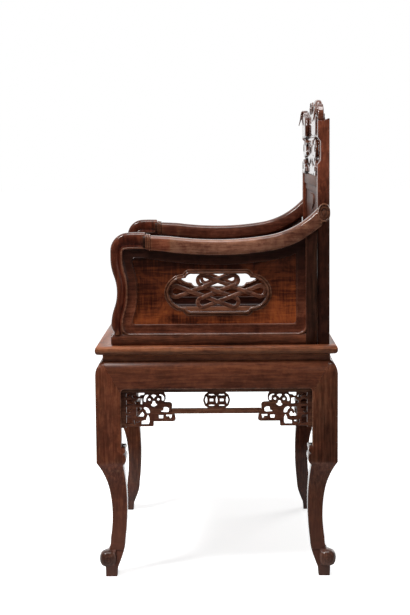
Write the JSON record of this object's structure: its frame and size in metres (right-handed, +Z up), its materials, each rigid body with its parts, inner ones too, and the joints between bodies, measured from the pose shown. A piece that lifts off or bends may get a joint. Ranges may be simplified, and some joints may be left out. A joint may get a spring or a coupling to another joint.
{
  "type": "armchair",
  "caption": "Dark hardwood armchair with cabriole legs, fretwork aprons, side panels pierced by an endless knot, sweeping arm rails and a carved back.",
  "frame": {"origin": "on the floor, under the middle of the seat", "axes": "+Z up, the sitter faces -Y, +X is the sitter's left"},
  "size_m": [0.64, 0.502, 1.003],
  "materials": {
    "apron_front": "waxed dark rosewood",
    "apron_left": "waxed dark rosewood",
    "apron_rear": "waxed dark rosewood",
    "apron_right": "waxed dark rosewood",
    "arm_bottom_rail_left": "waxed dark rosewood",
    "arm_bottom_rail_right": "waxed dark rosewood",
    "arm_knot_left": "waxed dark rosewood",
    "arm_knot_right": "waxed dark rosewood",
    "arm_panel_left": "waxed dark rosewood",
    "arm_panel_right": "waxed dark rosewood",
    "arm_post_left": "waxed dark rosewood",
    "arm_post_right": "waxed dark rosewood",
    "arm_rail_front_left": "waxed dark rosewood",
    "arm_rail_front_right": "waxed dark rosewood",
    "arm_rail_left": "waxed dark rosewood",
    "arm_rail_right": "waxed dark rosewood",
    "arm_rear_post_left": "waxed dark rosewood",
    "arm_rear_post_right": "waxed dark rosewood",
    "back_bottom_rail": "waxed dark rosewood",
    "back_mid_rail": "waxed dark rosewood",
    "back_openwork": "waxed dark rosewood",
    "back_panel": "waxed dark rosewood",
    "coin_rosette_front": "waxed dark rosewood",
    "coin_rosette_left": "waxed dark rosewood",
    "coin_rosette_rear": "waxed dark rosewood",
    "coin_rosette_right": "waxed dark rosewood",
    "crest": "waxed dark rosewood",
    "fret_rail_front": "waxed dark rosewood",
    "fret_rail_left": "waxed dark rosewood",
    "fret_rail_rear": "waxed dark rosewood",
    "fret_rail_right": "waxed dark rosewood",
    "fret_spandrel_a_front": "waxed dark rosewood",
    "fret_spandrel_a_left": "waxed dark rosewood",
    "fret_spandrel_a_rear": "waxed dark rosewood",
    "fret_spandrel_a_right": "waxed dark rosewood",
    "fret_spandrel_b_front": "waxed dark rosewood",
    "fret_spandrel_b_left": "waxed dark rosewood",
    "fret_spandrel_b_rear": "waxed dark rosewood",
    "fret_spandrel_b_right": "waxed dark rosewood",
    "fret_strip_front": "waxed dark rosewood",
    "fret_strip_left": "waxed dark rosewood",
    "fret_strip_rear": "waxed dark rosewood",
    "fret_strip_right": "waxed dark rosewood",
    "leg_front_left": "waxed dark rosewood",
    "leg_front_right": "waxed dark rosewood",
    "leg_rear_left": "waxed dark rosewood",
    "leg_rear_right": "waxed dark rosewood",
    "seat_batten": "waxed dark rosewood",
    "seat_panel": "waxed dark rosewood",
    "seat_rail_front": "waxed dark rosewood",
    "seat_rail_left": "waxed dark rosewood",
    "seat_rail_rear": "waxed dark rosewood",
    "seat_rail_right": "waxed dark rosewood",
    "stile_left": "waxed dark rosewood",
    "stile_right": "waxed dark rosewood",
    "waist_front": "waxed dark rosewood",
    "waist_left": "waxed dark rosewood",
    "waist_rear": "waxed dark rosewood",
    "waist_right": "waxed dark rosewood"
  },
  "bodies": {
    "root": {"apron_front": "apron_front", "apron_left": "apron_left", "apron_rear": "apron_rear", "apron_right": "apron_right", "arm_bottom_rail_left": "arm_bottom_rail_left", "arm_bottom_rail_right": "arm_bottom_rail_right", "arm_knot_left": "arm_knot_left", "arm_knot_right": "arm_knot_right", "arm_panel_left": "arm_panel_left", "arm_panel_right": "arm_panel_right", "arm_post_left": "arm_post_left", "arm_post_right": "arm_post_right", "arm_rail_front_left": "arm_rail_front_left", "arm_rail_front_right": "arm_rail_front_right", "arm_rail_left": "arm_rail_left", "arm_rail_right": "arm_rail_right", "arm_rear_post_left": "arm_rear_post_left", "arm_rear_post_right": "arm_rear_post_right", "back_bottom_rail": "back_bottom_rail", "back_mid_rail": "back_mid_rail", "back_openwork": "back_openwork", "back_panel": "back_panel", "coin_rosette_front": "coin_rosette_front", "coin_rosette_left": "coin_rosette_left", "coin_rosette_rear": "coin_rosette_rear", "coin_rosette_right": "coin_rosette_right", "crest": "crest", "fret_rail_front": "fret_rail_front", "fret_rail_left": "fret_rail_left", "fret_rail_rear": "fret_rail_rear", "fret_rail_right": "fret_rail_right", "fret_spandrel_a_front": "fret_spandrel_a_front", "fret_spandrel_a_left": "fret_spandrel_a_left", "fret_spandrel_a_rear": "fret_spandrel_a_rear", "fret_spandrel_a_right": "fret_spandrel_a_right", "fret_spandrel_b_front": "fret_spandrel_b_front", "fret_spandrel_b_left": "fret_spandrel_b_left", "fret_spandrel_b_rear": "fret_spandrel_b_rear", "fret_spandrel_b_right": "fret_spandrel_b_right", "fret_strip_front": "fret_strip_front", "fret_strip_left": "fret_strip_left", "fret_strip_rear": "fret_strip_rear", "fret_strip_right": "fret_strip_right", "leg_front_left": "leg_front_left", "leg_front_right": "leg_front_right", "leg_rear_left": "leg_rear_left", "leg_rear_right": "leg_rear_right", "seat_batten": "seat_batten", "seat_panel": "seat_panel", "seat_rail_front": "seat_rail_front", "seat_rail_left": "seat_rail_left", "seat_rail_rear": "seat_rail_rear", "seat_rail_right": "seat_rail_right", "stile_left": "stile_left", "stile_right": "stile_right", "waist_front": "waist_front", "waist_left": "waist_left", "waist_rear": "waist_rear", "waist_right": "waist_right"}
  },
  "joints": []
}
